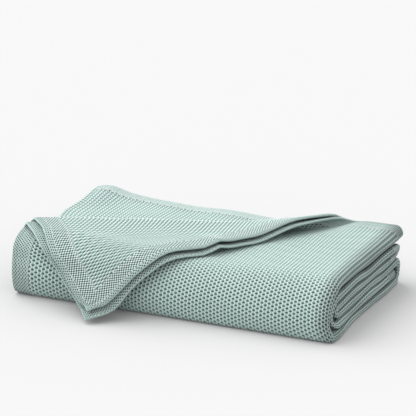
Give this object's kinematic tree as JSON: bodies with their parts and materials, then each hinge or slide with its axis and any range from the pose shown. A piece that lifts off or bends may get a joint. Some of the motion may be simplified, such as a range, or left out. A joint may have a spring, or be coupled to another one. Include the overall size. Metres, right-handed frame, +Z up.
{
  "type": "knitted blanket",
  "caption": "Thick knitted blanket with a self-knitted border, folded into a long flat stack with one top corner turned back over the front.",
  "frame": {"origin": "middle of the underside of the bounding box, on the surface the folded blanket lies on", "axes": "+X along the folded length, from the hem end to the folded end; +Y from the rounded front face towards the back; +Z up"},
  "size_m": [0.6542, 0.4738, 0.1401],
  "materials": {
    "blanket": "matt chunky knit, pale sage green"
  },
  "bodies": {
    "root": {"blanket": "blanket"}
  },
  "joints": []
}
